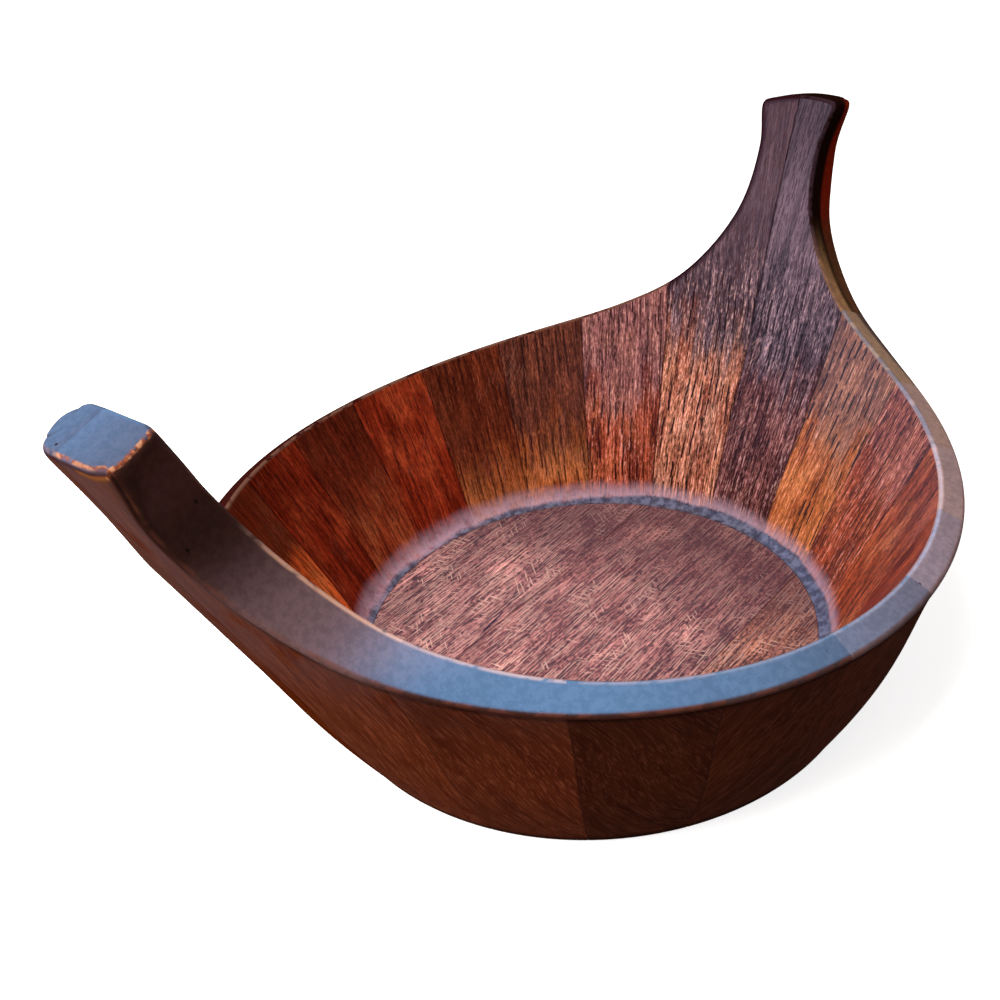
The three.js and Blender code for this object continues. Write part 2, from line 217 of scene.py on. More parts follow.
def edge_samples(handle):
    """Edge of the wall on the unrolled inner face, from the top of the handle down to the low rim."""
    def by_width(half, height):
        radius = inner_radius(height)
        return [radius * np.arcsin(half / radius), height]

    def by_angle(degrees, height):
        return [inner_radius(height) * np.radians(degrees), height]

    corner = handle["corner"]
    tip = handle["tip"]
    peak = TIP_HEIGHT - PEAK_DROP
    top = peak - handle["crown"]
    inset = corner * (1 - np.sqrt(0.5))
    points = [
        by_width(-(tip - corner), top),
        by_width(0, peak),
        by_width(tip - corner, top),
        by_width(tip - inset, top - inset),
        by_width(tip, top - corner),
        by_width(handle["waist"], handle["waist_height"]),
        by_width(NECK_HALF_WIDTH, NECK_HEIGHT),
        by_width(SHOULDER_HALF_WIDTH, SHOULDER_HEIGHT),
        by_angle(HAUNCH_ANGLE, HAUNCH_HEIGHT),
        by_angle(FLANK_ANGLE, FLANK_HEIGHT),
        by_angle(90, RIM_HEIGHT),
        by_angle(180 - FLANK_ANGLE, FLANK_HEIGHT),
    ]
    return catmull_rom(points, OUTLINE_STEPS)[OUTLINE_STEPS:]


class EdgeLine:
    """The edge moved back into the wall by a share of the arris, as three readings."""

    def __init__(self, samples, ring):
        inset = ring["inset"] * arris(samples[:, 1], ring["inside"])
        along = np.gradient(samples, axis=0)
        along /= np.linalg.norm(along, axis=1)[:, None]
        distance = samples[:, 0] + along[:, 1] * inset
        distance[0] = 0
        self.height = samples[:, 1] - along[:, 0] * inset
        self.angle = distance / inner_radius(self.height)
        self.corner_angle = self.angle[CORNER_SAMPLE]
        self.corner_height = self.height[CORNER_SAMPLE]

    def top_height(self, angle):
        return np.interp(angle, self.angle[:CORNER_SAMPLE + 1], self.height[:CORNER_SAMPLE + 1])

    def side_angle(self, height):
        return np.interp(height, self.height[:CORNER_SAMPLE - 1:-1], self.angle[:CORNER_SAMPLE - 1:-1])

    def rim_height(self, angle):
        return np.interp(angle, self.angle[NECK_SAMPLE:], self.height[NECK_SAMPLE:])


def edge_rings():
    """Rings over the rounded edge: how far each is below the edge line, and how far through the wall."""
    quarter = np.radians(np.linspace(0, 90, ROUND_STEPS))
    rounding = [dict(inset=1 - np.sin(a), depth=1 - np.cos(a), across=0) for a in quarter]
    inner = [dict(ring, inside=True) for ring in rounding]
    middle = [dict(inset=0, depth=0, across=share, inside=True) for share in ACROSS_EDGE]
    outer = [dict(ring, inside=False) for ring in rounding[::-1]]
    return inner + middle + outer


RINGS = edge_rings()
OUTER_RING = len(RINGS) - 1
INNER_MIDDLE = ROUND_STEPS // 2
OUTER_MIDDLE = OUTER_RING - INNER_MIDDLE


class Stave:
    """One stave of the first quarter, lofted from section to section."""

    # Shares of the way up the low wall and up the handle, closer together near the edge
    low_shares = np.concatenate([np.linspace(0, 0.86, 22), [0.9, 0.93, 0.955, 0.975, 0.99, 1]])
    high_shares = np.concatenate([[0.004, 0.012], np.linspace(0, 0.9, 30)[1:], [0.93, 0.955, 0.975, 0.99, 1]])
    low_rows = len(low_shares)

    # Shares of the way across, closer together near the joints and near a handle's free edge
    near_shares = [0, 0.014, 0.03]
    far_shares = [0.97, 0.986, 1]
    free_shares = [0.6, 0.66, 0.72, 0.77, 0.81, 0.85, 0.885, 0.915, 0.945, 0.97, 0.985, 1]
    middle_steps = 15

    def __init__(self, index, handle):
        self.start = index * PITCH
        self.end = (index + 1) * PITCH
        self.is_handle = index == 0
        self.handle = handle
        samples = edge_samples(handle)
        self.lines = [EdgeLine(samples, ring) for ring in RINGS]
        far = self.free_shares if self.is_handle else self.far_shares
        middle = np.linspace(self.near_shares[-1], far[0], self.middle_steps)[1:-1]
        self.shares = np.concatenate([self.near_shares, middle, far])
        self.build()

    def fall(self, height, angle):
        return edge_fall(height, angle, self.handle["fall"])

    def outer(self, height, angle):
        return outer_radius(height, angle) - self.handle["thin"] * towards_tip(height)

    def point(self, u, angle, radius, height, free=False):
        """A point at a share u of the way across, moved off the joints by half their gap."""
        low = (1 - u) * JOINT_GAP / 2
        high = 0 if free else u * JOINT_GAP / 2
        return np.array([
            radius * np.cos(angle) - low * np.sin(self.start) + high * np.sin(self.end),
            radius * np.sin(angle) + low * np.cos(self.start) - high * np.cos(self.end),
            height,
        ])

    def climb(self, u, ring_number, start):
        """Rows up to one ring's line: angle, height, share of the edge's fall, and whether it stands free."""
        line = self.lines[ring_number]
        angle = self.start + (self.end - self.start) * u
        if not self.is_handle:
            top = line.rim_height(angle)
            return [(angle, start + (top - start) * share, share, False) for share in self.low_shares]
        joint = line.rim_height(self.end)
        rows = [(angle, start + (joint - start) * share, share, False) for share in self.low_shares]
        top = line.top_height(u * line.corner_angle)
        for share in self.high_shares:
            side_height = joint + (line.corner_height - joint) * share
            side = line.corner_angle if share == 1 else line.side_angle(side_height)
            rows.append((u * side, joint + (top - joint) * share, 1, True))
        return rows

    def ring_point(self, u, number, row):
        angle, height, _, free = row
        ring = RINGS[number]
        below = height - self.fall(height, angle)
        inner = inner_radius(height)
        outer = self.outer(below, angle)
        length = np.hypot(outer - inner, height - below)
        first = arris(height, True) / length
        last = 1 - arris(height, False) / length
        if ring["across"]:
            share = first + (last - first) * ring["across"]
        elif ring["inside"]:
            share = ring["depth"] * first
        else:
            share = 1 - ring["depth"] * (1 - last)
        return self.point(u, angle, inner + (outer - inner) * share, height + (below - height) * share, free)

    def edge_row(self, u, number):
        """Where a ring crosses the section at a share u of the way across."""
        return self.ring_point(u, number, self.climb(u, number, 0)[-1])

    def free_line(self, number):
        """A ring's points up the free side of a handle, without the one at the tip's corner."""
        rows = self.climb(1, number, 0)[self.low_rows - 1:-1]
        return [self.ring_point(1, number, row) for row in rows]

    def section(self, u):
        """Closed section at a share u of the way across: up the inside and down the outside."""
        foot_angle = self.start + (self.end - self.start) * u
        rows = [self.point(u, foot_angle, radius, height) for radius, height in self.groove()]
        kinds = ["groove"] * len(rows)
        for angle, height, _, free in self.climb(u, 0, FLOOR_HEIGHT + COVE_RISE):
            rows.append(self.point(u, angle, inner_radius(height), height, free))
            kinds.append("inner")
        for number in range(1, OUTER_RING):
            rows.append(self.edge_row(u, number))
            kinds.append("edge")
        outer = []
        for angle, height, share, free in self.climb(u, OUTER_RING, FOOT_ARRIS):
            below = height - share * self.fall(height, angle)
            outer.append(self.point(u, angle, self.outer(below, angle), below, free))
        rows += outer[::-1]
        corner = outer_radius(FOOT_ARRIS, foot_angle)
        foot = np.radians([22.5, 45, 67.5, 90])
        for a in foot:
            radius = corner - FOOT_ARRIS * (1 - np.cos(a))
            rows.append(self.point(u, foot_angle, radius, FOOT_ARRIS * (1 - np.sin(a))))
        kinds += ["outer"] * (len(outer) + len(foot))
        self.kinds = kinds
        return np.array(rows)

    @staticmethod
    def groove():
        """Radii and heights of the chime, the groove, its lip, and the cove from the floor into the wall."""
        top = FLOOR_HEIGHT + COVE_RISE
        a = np.array([FLOOR_RADIUS, FLOOR_HEIGHT])
        b = np.array([inner_radius(FLOOR_HEIGHT), FLOOR_HEIGHT])
        c = np.array([inner_radius(top), top])
        t = (np.arange(COVE_STEPS) / COVE_STEPS)[:, None]
        cove = (1 - t)**2 * a + 2 * t * (1 - t) * b + t**2 * c
        return [
            (CHIME_RADIUS, 0),
            (CHIME_RADIUS, GROOVE_BOTTOM),
            (GROOVE_RADIUS, GROOVE_BOTTOM),
            (GROOVE_RADIUS, GROOVE_TOP),
            (FLOOR_RADIUS, GROOVE_TOP),
            *cove,
        ]

    def build(self):
        loops = np.array([self.section(u) for u in self.shares])
        columns, rows = loops.shape[:2]
        self.ease_joints(loops)
        points = list(loops.reshape(-1, 3))
        kinds = self.kinds * columns
        index = np.arange(columns * rows).reshape(columns, rows)
        faces = []
        for c in range(columns - 1):
            for r in range(rows):
                s = (r + 1) % rows
                faces.append((index[c, r], index[c, s], index[c + 1, s], index[c + 1, r]))
        faces.append(tuple(index[0][::-1]))
        if self.is_handle:
            faces += self.side(index[-1], points, kinds)
        else:
            faces.append(tuple(index[-1]))
        self.points = np.array(points)
        self.point_kinds = np.array(kinds)
        self.faces = faces

    def ease_joints(self, loops):
        """Ease the edges of the joint faces, so that a fine groove shows along each joint."""
        kinds = np.array(self.kinds)
        for column in (0, -1):
            loop = loops[column]
            flat = np.column_stack([np.hypot(loop[:, 0], loop[:, 1]), loop[:, 2]])
            along = np.roll(flat, -1, axis=0) - np.roll(flat, 1, axis=0)
            normal = np.column_stack([along[:, 1], -along[:, 0]])
            normal /= np.maximum(np.linalg.norm(normal, axis=1), 1e-9)[:, None]
            held = (kinds == "groove") | (kinds == "edge") | (loop[:, 2] < FLAT_FOOT)
            if self.is_handle and column == -1:
                first = np.flatnonzero(kinds == "inner")[0] + self.low_rows - 1
                last = np.flatnonzero(kinds == "outer")[0] + len(self.high_shares)
                held[first - 1:last + 1] = True
            depth = np.where(held, 0, np.where(kinds == "inner", INNER_EASE, OUTER_EASE))
            eased = flat + normal * depth[:, None]
            angle = np.arctan2(loop[:, 1], loop[:, 0])
            x = eased[:, 0] * np.cos(angle)
            y = eased[:, 0] * np.sin(angle)
            loops[column] = np.column_stack([x, y, eased[:, 1]])

    def side(self, last, points, kinds):
        """Far side of a handle stave: a joint face as high as its neighbour, then the handle's free edge."""
        inner = [i for i, kind in zip(last, self.kinds) if kind == "inner"]
        outer = [i for i, kind in zip(last, self.kinds) if kind == "outer"]
        edge = [i for i, kind in zip(last, self.kinds) if kind == "edge"]
        high = len(self.high_shares)
        across = [inner[self.low_rows - 1:]]
        for number in range(1, OUTER_RING):
            line = self.free_line(number)
            numbers = range(len(points), len(points) + len(line))
            points += line
            kinds += ["edge"] * len(line)
            across.append([*numbers, edge[number - 1]])
        across.append(outer[:high + 1][::-1])
        faces = []
        for a, b in zip(across, across[1:]):
            for i in range(high):
                faces.append((a[i], a[i + 1], b[i + 1], b[i]))
        below = last[:list(last).index(inner[self.low_rows - 1])]
        faces.append((*below, *[line[0] for line in across], *outer[high + 1:]))
        return faces

    def edge_points(self, number):
        """One ring of the edge, from the stave's first joint to its last one or down a handle's free side."""
        line = [self.edge_row(u, number) for u in self.shares]
        if self.is_handle:
            line += self.free_line(number)[::-1]
        return np.array(line)


def round_corners(stave):
    """Wear the long corners of a handle stave round, inside and outside."""
    corners = stave.handle
    x, y, z = stave.points.T
    radius = np.hypot(x, y)
    line = stave.lines[INNER_MIDDLE]
    height = z.copy()
    for _ in range(4):
        fall = stave.fall(height, 0)
        inner = inner_radius(height)
        outer = stave.outer(height - fall, 0)
        share = np.clip((radius - inner) / (outer - inner), 0, 1)
        height = z + share * fall
    length = np.hypot(outer - inner, fall)
    aside = np.maximum(radius * np.sin(line.side_angle(height)) - y, 0)
    grown = smoothstep(height, corners["low"], corners["high"])
    sides = (corners["inner"], share * length, -1), (corners["outer"], (1 - share) * length, 1)
    for size, into, outward in sides:
        reach = np.maximum(size * grown, 1e-6)
        a = np.clip(reach - into, 0, None)
        b = np.clip(reach - aside, 0, None)
        scale = np.maximum(a, b) / np.maximum(np.hypot(a, b), 1e-9)
        both = (a > 0) & (b > 0)
        move_in = np.where(both, a - a * scale, 0)
        x = x - outward * move_in * (outer - inner) / length
        z = z + outward * move_in * fall / length
        y = y - np.where(both, b - b * scale, 0)
    return np.column_stack([x, y, z])


def to_mesh(name, points, faces, attributes):
    points = np.clip(points, BOX[0], BOX[1])
    mesh = bpy.data.meshes.new(name)
    mesh.from_pydata((points * MM).tolist(), [], [tuple(int(i) for i in face) for face in faces])
    for key, values in attributes.items():
        kind, slot = ("FLOAT_VECTOR", "vector") if values.ndim == 2 else ("FLOAT", "value")
        attribute = mesh.attributes.new(key, kind, "POINT")
        attribute.data.foreach_set(slot, values.astype(np.float32).ravel())
    mesh.shade_smooth()
    mesh.set_sharp_from_angle(angle=SHARP_ANGLE)
    mesh.validate()
    piece = bpy.data.objects.new(name, mesh)
    bpy.context.collection.objects.link(piece)
    return piece


# A stave's own coordinates: how far its grain leans outwards, and the radius where they start
LEAN = np.radians(24.5)
LAY_RADIUS = 98


def stave_lay(points, middle):
    """A stave's own coordinates in centimetres: across it, through it and along its grain."""
    radial = np.array([np.cos(middle), np.sin(middle), 0])
    sideways = np.array([-np.sin(middle), np.cos(middle), 0])
    up = np.array([0, 0, 1])
    along = np.cos(LEAN) * up + np.sin(LEAN) * radial
    through = np.cos(LEAN) * radial - np.sin(LEAN) * up
    shifted = points - radial * LAY_RADIUS
    return np.column_stack([shifted @ sideways, shifted @ through, shifted @ along]) / MM_IN_CM


def nearest(points, line, steps=5, batch=500):
    """Distance of each point from a line, which is cut into steps between its points."""
    shares = np.arange(steps)[:, None] / steps
    dense = np.vstack([a + (b - a) * shares for a, b in zip(line, line[1:])])
    out = np.empty(len(points))
    for i in range(0, len(points), batch):
        apart = points[i:i + batch, None, :] - dense[None]
        out[i:i + batch] = np.sqrt((apart**2).sum(axis=2).min(axis=1))
    return out


# Colours are linear. Each wood has its shadow, middle and light tones
RUST = ((0.15, 0.02, 0.007), (0.33, 0.055, 0.018), (0.48, 0.12, 0.045))
RED = ((0.10, 0.009, 0.003), (0.22, 0.022, 0.007), (0.36, 0.055, 0.018))
WINE = ((0.07, 0.014, 0.012), (0.17, 0.045, 0.036), (0.30, 0.10, 0.085))
PINK = ((0.26, 0.06, 0.03), (0.50, 0.18, 0.10), (0.72, 0.34, 0.24))
AMBER = ((0.22, 0.042, 0.010), (0.43, 0.115, 0.030), (0.60, 0.20, 0.07))
BRIGHT = ((0.38, 0.055, 0.013), (0.80, 0.145, 0.034), (0.95, 0.28, 0.085))
FLOOR = ((0.25, 0.058, 0.05), (0.46, 0.15, 0.135), (0.66, 0.27, 0.26))
BOARD = ((0.31, 0.075, 0.032), (0.53, 0.17, 0.08), (0.74, 0.29, 0.17))

# Tones of wear and dirt, and tones of painted light and shade, as marked
PINK_FILM = (0.80, 0.38, 0.38)
# Partly painted sheen: a grey-violet film that stands in for the sky's reflection on the right walls
GREY_FILM_AND_SHEEN = (0.17, 0.105, 0.135)
DARK_RED = (0.10, 0.012, 0.005)
DARK_EDGE = (0.035, 0.006, 0.005)
BLACK = (0.012, 0.003, 0.003)
STROKE = (1.0, 0.60, 0.50)
# Painted highlight on the lit sides of the relief
ROSE = (0.75, 0.42, 0.36)
TAN = (0.42, 0.24, 0.17)
# Dark blue painted shade along the inner arris
INDIGO = (0.03, 0.018, 0.04)
# Painted sheen over the cove: a lavender reflection of the sky
COVE_SHEEN = (0.38, 0.26, 0.34)
# Dark line round the floor, tinted blue-grey as painted reflection
STEEL = ((0.022, 0.028, 0.05), (0.10, 0.11, 0.17))
# Outer face tones, darker than the wood inside, partly as painted shade
SKIN = ((0.07, 0.009, 0.001), (0.105, 0.018, 0.003))
SKIN_FIBRE = (0.24, 0.06, 0.024)
# Painted shade in dark bands under the rim and along the foot
SKIN_BAND = (0.01, 0.002, 0.001)
# Painted grey sheen high on the outer face of the near handle
SKIN_SHEEN = (0.17, 0.09, 0.08)
BARE_WOOD = (0.32, 0.10, 0.022)
FLAKED = ((0.26, 0.06, 0.02), (0.52, 0.24, 0.13))
FLOOR_LINE = (0.06, 0.012, 0.012)
# Painted shade: gloom towards the far handle, and below it a soft dark rim round the floor
FLOOR_GLOOM = (0.11, 0.022, 0.016)
FLOOR_RIM = (0.055, 0.035, 0.05)
FLOOR_JOINT = (0.05, 0.015, 0.015)
CRACK_TONE = (0.012, 0.01, 0.03)

# Patterns in the wood: cells in a centimetre across the grain, through it and along it
GRAIN = (3.0, 3.0, 0.22)
FIBRE = (17, 17, 0.9)
STREAK = (6, 6, 0.3)
WALL_GRIT = (14, 14, 4.2)
FLOOR_GRIT = (11, 11, 6)
BROAD = (0.6, 0.6, 0.35)
PORE_PATCH = (0.7, 0.7, 0.25)
SCRATCH_PATCH = (0.6, 0.6, 0.45)
LINE_PATCH = (1.1, 1.1, 0.3)
WEAR_AND_SHADE_PATCH = (1.6, 1.6, 1.6)
JOINT_PATCH = (1, 1, 2.5)
PITS = (1.5, 1.5, 0.9)
FLAKES = (5, 5, 5)
BUMP = dict(Strength=0.5, Distance=0.0004)

# Patterns over the whole bowl: cells in a metre
WAVES = (50, 50, 50)
COVE_SHEEN_PATCH = (250, 250, 250)
MOTTLE = (420, 420, 420)

# Strokes in centimetres: gap between rows, length, half width as a share of the gap, wander and looseness
WALL_PORES = dict(gap=0.36, length=1.0, width=0.15, wobble=0.25, spread=0.45)
FLOOR_PORES = dict(gap=0.17, length=1.5, width=0.15, wobble=0.2, spread=0.8)
FINE_PORES = dict(gap=0.13, length=0.4, width=0.22, wobble=0.1, spread=0.9)
GRAIN_LINES = dict(gap=0.23, length=3.2, width=0.13, wobble=0.2, spread=0.9)
SCRATCH = dict(width=0.14, wobble=0.05, spread=1.0)

# Scratches: turn from the grain in degrees, then gap and length. Those near the grain are common
WALL_SCRATCHES = ((28, 0.16, 0.7),)
FLOOR_SCRATCHES = ((1, 0.13, 0.7), (-3, 0.19, 1.3), (68, 0.22, 0.5), (-52, 0.25, 0.7), (84, 0.34, 1.0))
NEAR_GRAIN = 5

# The open crack in the floor, in centimetres and degrees: its middle, half width, half length and turn
CRACK_ACROSS = 3.26
CRACK_ALONG = -2.45
CRACK_WIDTH = (0.085, 0.055)
CRACK_LENGTH = (0.95, 0.7)
CRACK_TURN = -7

# Top of the dark line round the floor: its height, how much wider it gets, and where, in degrees
LINE_TOP = 13.2
LINE_EXTRA = 2.1
LINE_AZIMUTH = -25
LINE_REACH = (10, 110)

# What a look says, with its usual values
USUAL = dict(
    # Worn film, partly painted sheen: tone, cover below and above a height in centimetres along the grain,
    # brightness at the tip
    film=GREY_FILM_AND_SHEEN, low=0.0, high=0.0, start=6.0, dim=1.0,
    # Strength of long and short pores, of relief and of scratches, tone of lit relief, slant of the grain
    bold=0.3, fine=0.3, grit=0.5, scratch=0.05, glow=(0.42, 0.12, 0.05), slant=0.0,
    # Edge: its tone, tones of its outer half above and below, of its low part and of a belt of painted sheen on
    # the way up
    edge=(0.045, 0.02, 0.016), edge_out=None, out_low=None, edge_low=None, sheen_belt=None,
    # Gloss of the edge, its share low down, and the specular level of the whole stave
    coat=1.0, coat_low=1.0, specular=0.15,
    # Arris lines of rubbed wood and of painted shade: strength, tone and width inside, tone outside, and wear
    # of the handle's tip
    rub=0.15, rub_tone=(0.72, 0.38, 0.26), rub_wide=1.5, rub_out=(0.20, 0.05, 0.025), worn_tip=0.0,
    # Brightness of the outer face, partly painted light, a painted grey sheen high on it, and width of the dark
    # line along a joint
    skin=1.0, painted_sheen=0.0, seam=0.42,
)
FAR = dict(coat=0.0, edge=DARK_EDGE, specular=0.0)
# Near the left handle: a belt of painted sheen on the edge, and a painted grey sheen high on the outer face
NEAR_HANDLE = dict(edge=(0.05, 0.014, 0.008), sheen_belt=(0.17, 0.09, 0.09), painted_sheen=0.5)
# Floor boards: a painted highlight on the relief's lit sides, and no specular level
FLOOR_RELIEF_HIGHLIGHT = dict(glow=ROSE, specular=0.0)
FIRST_BOARD = 31


def look(tones, **changes):
    return {**USUAL, "tones": tones, **changes}


# The mauve-grey films of staves 1, 2 and 17 to 20 are partly painted sheen of the sky
LOOKS = {
    # Staves 1 and 20, the right handle: the near-black edge tone is painted shade
    1: look(PINK, film=(0.105, 0.066, 0.09), low=0.12, high=0.95, start=9.0, dim=0.72,
            bold=1.0, fine=0.6, grit=1.0, scratch=0.12, glow=(0.86, 0.52, 0.46), edge=(0.012, 0.003, 0.004),
            coat=0.0, specular=0.0, rub=0.9, rub_tone=(0.02, 0.004, 0.006), rub_wide=3.6, seam=0.75),
    2: look(RUST, film=(0.21, 0.11, 0.125), low=0.1, high=0.7, start=6.2,
            bold=0.9, fine=0.5, grit=0.85, scratch=0.08, glow=ROSE, seam=0.6, skin=1.15, **FAR),
    3: look(AMBER, film=(0.10, 0.026, 0.018), low=0.2, high=0.95, start=4.0,
            bold=0.8, fine=0.4, grit=0.7, **FAR),
    4: look(AMBER, film=(0.10, 0.015, 0.007), low=0.3, high=0.95, start=3.4,
            bold=0.7, grit=0.6, skin=0.8, **FAR),
    5: look(RED, bold=0.6, skin=1.1, **FAR),
    6: look(RUST, film=DARK_RED, low=0.2, high=0.9, start=5.0, bold=0.6, skin=0.85, **FAR),
    7: look(RED, bold=0.6, skin=1.2, **FAR),
    8: look(BRIGHT, film=(0.13, 0.016, 0.007), high=0.95, start=5.5, bold=0.6, grit=0.4, skin=1.05, **FAR),
    9: look(BRIGHT, film=(0.15, 0.018, 0.007), high=0.95, start=5.0, bold=0.5, grit=0.4,
            edge=(0.065, 0.025, 0.021), coat=0.0, specular=0.0, rub_out=TAN, skin=0.9),
    # Staves 10 to 12: the brighter outer face is painted light
    10: look(RED, rub=0.9, rub_out=TAN, worn_tip=0.2, skin=1.3, coat_low=0.0, specular=0.0, **NEAR_HANDLE),
    11: look(RED, rub=1.0, worn_tip=1.0, skin=1.8, **NEAR_HANDLE),
    12: look(RED, rub=0.6, slant=0.3, skin=1.4, **NEAR_HANDLE),
    13: look(RED, rub=0.25, slant=0.5, edge=(0.05, 0.015, 0.009), skin=0.75),
    14: look(RED, slant=-0.5, edge=(0.055, 0.027, 0.024), skin=0.85),
    # Staves 15 to 17: pale mauve-grey edge tones, partly painted sheen
    15: look(RED, slant=-0.3, edge=(0.12, 0.077, 0.08), coat=0.95),
    16: look(RED, grit=0.7, edge=(0.24, 0.155, 0.16), coat=0.8, skin=0.9),
    17: look(RUST, high=0.2, bold=0.5, grit=0.9, edge=(0.29, 0.175, 0.155), coat=0.6, rub=0.4, skin=1.15),
    # Staves 18 and 19 have a dark blue inner arris line of painted shade, as staves 1 and 20 have a dark one
    18: look(RUST, low=0.05, high=0.4, start=6.5, bold=0.8, grit=0.9, glow=ROSE,
             edge=(0.30, 0.17, 0.13), coat=0.35, rub=0.4, rub_tone=INDIGO),
    19: look(AMBER, film=(0.19, 0.105, 0.10), low=0.05, high=0.7, start=6.6, bold=1.0, grit=0.75, glow=ROSE,
             edge=(0.28, 0.15, 0.08), edge_out=(0.12, 0.045, 0.02), out_low=(0.07, 0.025, 0.012),
             coat=0.25, rub=0.5, rub_tone=INDIGO, seam=0.6),
    20: look(WINE, film=(0.145, 0.097, 0.128), low=0.2, high=0.95, start=8.0, dim=0.52,
             bold=0.9, fine=0.6, grit=1.0, scratch=0.15, glow=(0.62, 0.38, 0.38),
             edge=(0.010, 0.003, 0.002), edge_out=(0.17, 0.012, 0.004), out_low=(0.05, 0.014, 0.007),
             edge_low=(0.26, 0.135, 0.065), coat=0.0, specular=0.0,
             rub=0.5, rub_tone=(0.05, 0.025, 0.04), seam=0.75),
    31: look(BOARD, bold=0.75, grit=1.5, scratch=0.95, **FLOOR_RELIEF_HIGHLIGHT),
    32: look(FLOOR, bold=0.85, grit=1.6, scratch=1.0, **FLOOR_RELIEF_HIGHLIGHT),
    33: look(FLOOR, film=PINK_FILM, low=0.15, high=0.15, bold=0.85, grit=1.6, scratch=1.0, **FLOOR_RELIEF_HIGHLIGHT),
}


class Nodes:
    """Short hand for building a node tree, where a value is a socket to link or a constant to set."""

    def __init__(self, tree):
        self.tree = tree

    def fill(self, node, inputs):
        for key, value in inputs.items():
            if isinstance(value, bpy.types.NodeSocket):
                self.tree.links.new(value, node.inputs[key])
            else:
                node.inputs[key].default_value = value

    def node(self, kind, inputs=None, **settings):
        node = self.tree.nodes.new(kind)
        for key, value in settings.items():
            setattr(node, key, value)
        self.fill(node, inputs or {})
        return node

    def shade(self, inputs):
        self.fill(self.tree.nodes["Principled BSDF"], inputs)

    def math(self, operation, first, *others):
        for other in others:
            first = self.node("ShaderNodeMath", {0: first, 1: other}, operation=operation).outputs[0]
        return first

    def plus(self, *values):
        return self.math("ADD", *values)

    def minus(self, a, b):
        return self.math("SUBTRACT", a, b)

    def times(self, *values):
        return self.math("MULTIPLY", *values)

    def most(self, *values):
        return self.math("MAXIMUM", *values)

    def span(self, value, low, high, out_low=0.0, out_high=1.0):
        inputs = {"Value": value, "From Min": low, "From Max": high, "To Min": out_low, "To Max": out_high}
        return self.node("ShaderNodeMapRange", inputs, interpolation_type="SMOOTHSTEP").outputs[0]

    def vector(self, operation, inputs, output=0):
        return self.node("ShaderNodeVectorMath", inputs, operation=operation).outputs[output]

    def scaled(self, colour, scale):
        return self.vector("SCALE", {0: colour, "Scale": scale})

    def mix(self, share, a, b):
        """From colour a to colour b. Inputs 6 and 7 and output 2 are the node's colours."""
        a, b = ((*tone, 1) if isinstance(tone, tuple) else tone for tone in (a, b))
        return self.node("ShaderNodeMix", {0: share, 6: a, 7: b}, data_type="RGBA").outputs[2]

    def cover(self, colour, tone, mask, strength):
        """Lay a tone over a colour where the mask is."""
        return self.mix(self.times(mask, strength), colour, tone)

    def join(self, x, y, z):
        return self.node("ShaderNodeCombineXYZ", {0: x, 1: y, 2: z}).outputs[0]

    def split(self, vector):
        return self.node("ShaderNodeSeparateXYZ", {0: vector}).outputs[:3]

    def attribute(self, name, output="Vector"):
        return self.node("ShaderNodeAttribute", attribute_name=name).outputs[output]

    def place(self, vector, shift=(0, 0, 0), scale=(1, 1, 1)):
        inputs = {"Vector": vector, "Location": shift, "Scale": scale}
        return self.node("ShaderNodeMapping", inputs).outputs[0]

    def noise(self, vector, scale, detail=2.0, rough=0.5, twist=0.0, shift=(0, 0, 0)):
        inputs = {"Scale": 1.0, "Detail": detail, "Roughness": rough, "Distortion": twist}
        inputs["Vector"] = self.place(vector, shift, scale)
        return self.node("ShaderNodeTexNoise", inputs).outputs["Fac"]

    def dashes(self, across, along, seed, gap, length, width, wobble, spread):
        """Short strokes along the grain, one in each cell of a loose grid."""
        bend = self.noise(self.join(self.times(across, 0.5), self.times(along, 0.6), seed * 3.7), (1, 1, 1))
        x = self.plus(self.math("DIVIDE", across, gap), self.times(bend, wobble / gap))
        y = self.plus(self.math("DIVIDE", along, length), seed * 1.31)
        place = self.join(x, y, 0.0)
        inputs = {"Vector": place, "Scale": 1.0, "Randomness": spread}
        cell = self.node("ShaderNodeTexVoronoi", inputs, voronoi_dimensions="2D")
        away = self.vector("SUBTRACT", {0: place, 1: cell.outputs["Position"]})
        dx, dy, _ = self.split(self.vector("ABSOLUTE", {0: away}))
        chance = self.span(self.split(cell.outputs["Color"])[0], 0.12, 0.4)
        return self.times(self.span(dx, width, width * 0.5), self.span(dy, 0.5, 0.36), chance)

    def turned(self, across, along, degrees):
        c, s = np.cos(np.radians(degrees)), np.sin(np.radians(degrees))
        x = self.plus(self.times(across, c), self.times(along, s))
        return x, self.minus(self.times(along, c), self.times(across, s))


